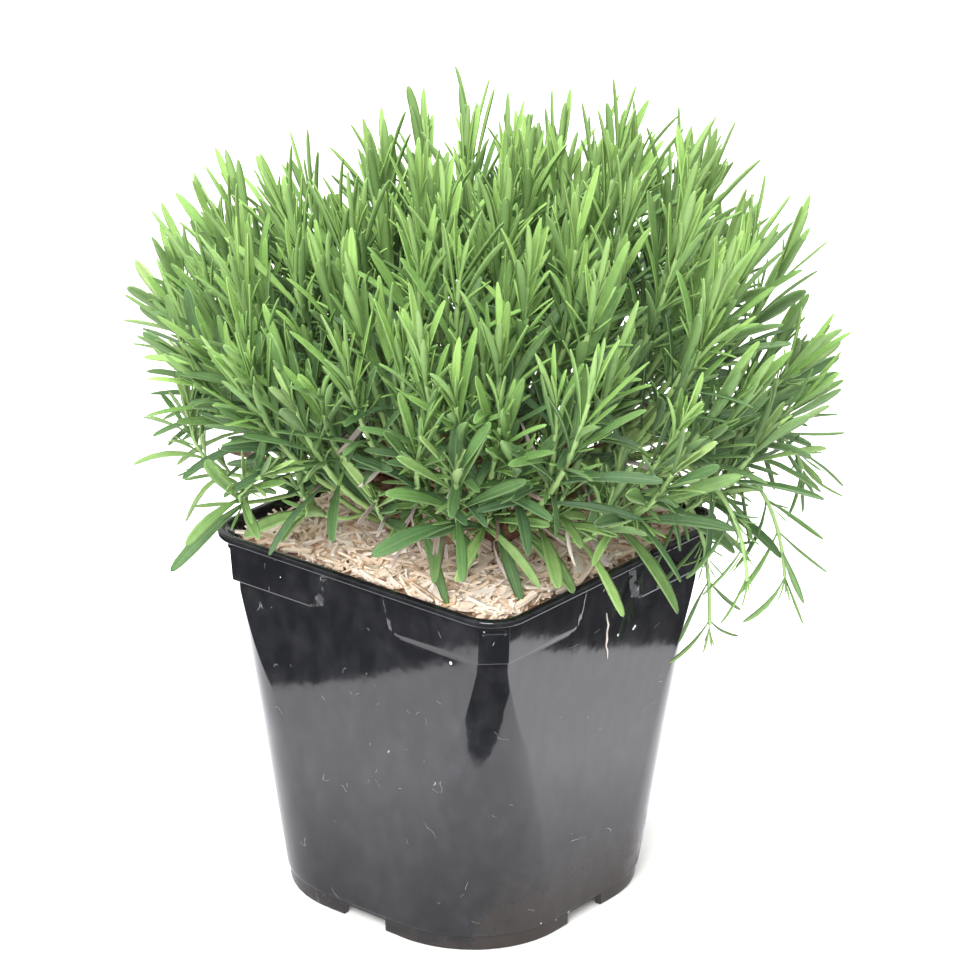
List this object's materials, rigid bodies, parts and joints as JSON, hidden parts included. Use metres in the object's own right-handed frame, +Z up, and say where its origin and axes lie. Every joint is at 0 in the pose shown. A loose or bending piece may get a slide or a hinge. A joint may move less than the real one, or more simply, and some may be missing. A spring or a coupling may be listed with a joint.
{
  "type": "potted lavender",
  "caption": "Bushy young lavender with narrow green leaves in a square black nursery pot with wood mulch; decorative herb plant that stands on any flat surface.",
  "frame": {"origin": "on the ground under the middle of the pot's foot", "axes": "+Z up through the middle of the pot; X and Y square to the pot's walls"},
  "size_m": [0.273, 0.2753, 0.3361],
  "materials": {
    "pot_plastic": "glossy black, dusty near the foot",
    "compost": "matt, crumbly",
    "wood_shavings": "raw, matt",
    "bark": "rough, flaking",
    "leaf_canopy": "soft satin, fresh green",
    "leaf_skirt": "soft satin, blue green"
  },
  "bodies": {
    "root": {"pot": "pot_plastic", "growing_medium": "compost", "wood_mulch": "wood_shavings", "woody_stems_a": "bark", "woody_stems_b": "bark", "woody_stems_c": "bark", "spray_01": "leaf_canopy", "spray_02": "leaf_canopy", "spray_03": "leaf_canopy", "spray_04": "leaf_canopy", "spray_05": "leaf_canopy", "spray_06": "leaf_canopy", "spray_07": "leaf_canopy", "spray_08": "leaf_canopy", "spray_09": "leaf_canopy", "spray_10": "leaf_canopy", "spray_11": "leaf_canopy", "spray_12": "leaf_canopy", "spray_13": "leaf_canopy", "spray_14": "leaf_canopy", "spray_15": "leaf_canopy", "spray_16": "leaf_canopy", "spray_17": "leaf_canopy", "spray_18": "leaf_canopy", "spray_19": "leaf_canopy", "spray_20": "leaf_canopy", "spray_21": "leaf_canopy", "spray_22": "leaf_canopy", "spray_23": "leaf_canopy", "spray_24": "leaf_canopy", "spray_25": "leaf_canopy", "spray_26": "leaf_canopy", "spray_27": "leaf_canopy", "spray_28": "leaf_canopy", "spray_29": "leaf_canopy", "spray_30": "leaf_canopy", "spray_31": "leaf_canopy", "spray_32": "leaf_canopy", "spray_33": "leaf_canopy", "spray_34": "leaf_canopy", "spray_35": "leaf_canopy", "spray_36": "leaf_canopy", "spray_37": "leaf_canopy", "spray_38": "leaf_canopy", "spray_39": "leaf_canopy", "spray_40": "leaf_canopy", "spray_41": "leaf_skirt", "spray_42": "leaf_skirt", "spray_43": "leaf_skirt", "spray_44": "leaf_skirt", "spray_45": "leaf_skirt", "spray_46": "leaf_skirt", "spray_47": "leaf_skirt", "spray_48": "leaf_skirt", "spray_49": "leaf_skirt", "spray_50": "leaf_skirt", "spray_51": "leaf_skirt", "spray_52": "leaf_skirt"}
  },
  "joints": []
}
